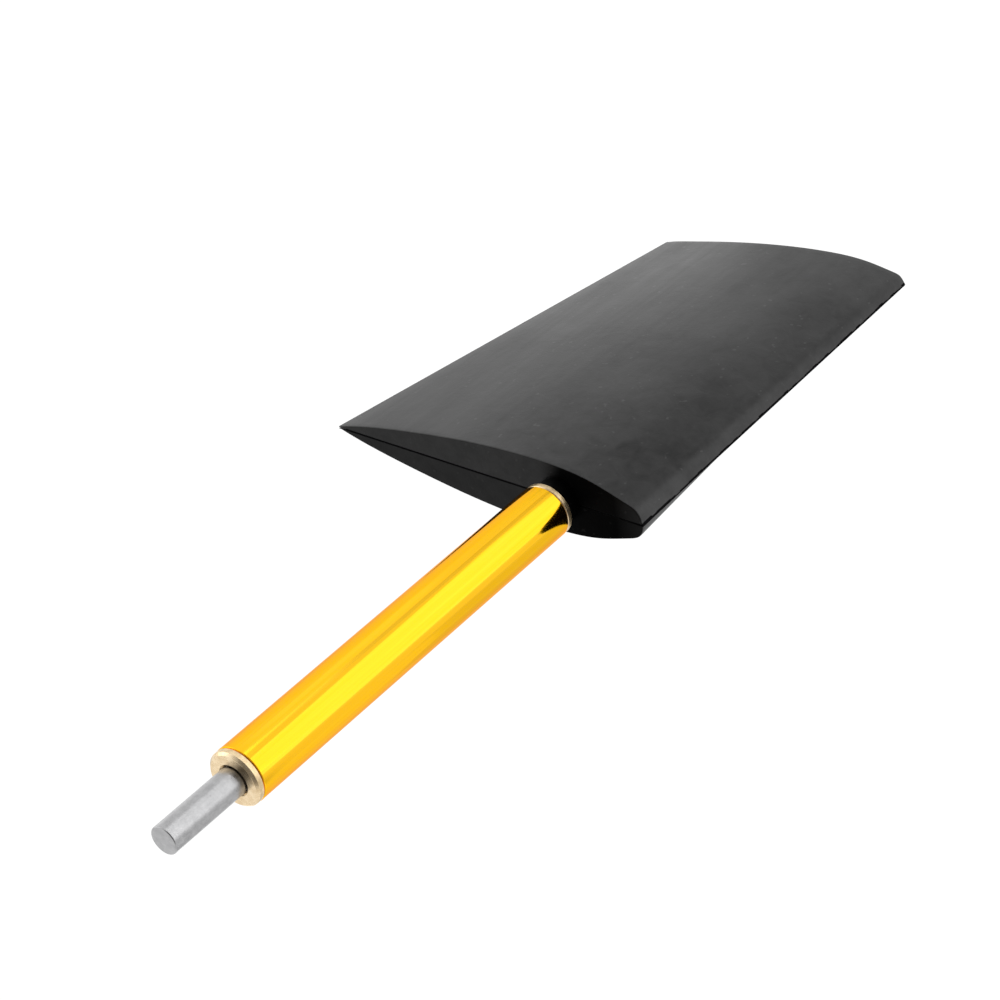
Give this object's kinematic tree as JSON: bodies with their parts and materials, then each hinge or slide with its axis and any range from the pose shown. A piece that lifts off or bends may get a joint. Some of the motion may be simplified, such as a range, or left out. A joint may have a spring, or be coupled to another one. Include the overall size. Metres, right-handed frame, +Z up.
{
  "type": "model boat rudder",
  "caption": "Model boat rudder: a tapered aerofoil blade fixed on a steel stock that turns in a flanged sleeve tube set through the hull.",
  "frame": {"origin": "on the stock's axis, half way along the sleeve tube", "axes": "+Z up along the stock from the blade to the tiller end, +X towards the leading edge, +Y across the blade to port"},
  "size_m": [0.0556, 0.011, 0.1514],
  "materials": {
    "blade": "satin moulded black plastic",
    "stock": "satin ground steel",
    "sleeve": "polished, gold-coloured anodising",
    "bush": "turned brass"
  },
  "bodies": {
    "sleeve": {"sleeve_tube": "sleeve", "upper_bush": "bush", "lower_bush": "bush"},
    "rudder": {"blade_port": "blade", "blade_starboard": "blade", "rudder_stock": "stock", "cross_pin_upper": "stock", "cross_pin_lower": "stock"}
  },
  "joints": [
    {"name": "rudder_turn", "type": "hinge", "parent": "sleeve", "child": "rudder", "pos_m": [0, 0, 0], "axis": [0, 0, 1], "continuous": true}
  ]
}
